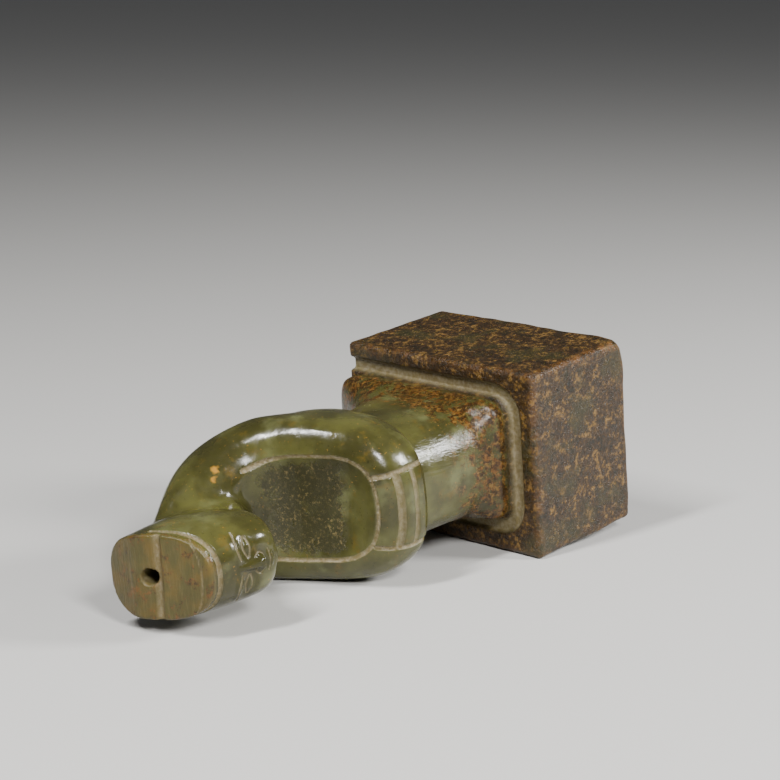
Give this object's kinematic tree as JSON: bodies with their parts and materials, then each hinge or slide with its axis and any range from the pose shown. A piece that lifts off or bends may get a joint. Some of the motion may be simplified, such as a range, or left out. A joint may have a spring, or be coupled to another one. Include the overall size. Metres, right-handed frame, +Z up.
{
  "type": "seal stamp",
  "caption": "Jade seal stamp: an oblong block with a handle carved as a standing robed figure with joined sleeves and a flat-topped cap, lying on its side.",
  "frame": {"origin": "centre of the bounding box at the height of the table the seal lies on", "axes": "+Z up as the seal lies on its side, +X from the stamp face towards the figure's head, +Y towards the figure's front"},
  "size_m": [0.0656, 0.0282, 0.0233],
  "materials": {
    "jade": "gloss"
  },
  "bodies": {
    "root": {"seal": "jade"}
  },
  "joints": []
}
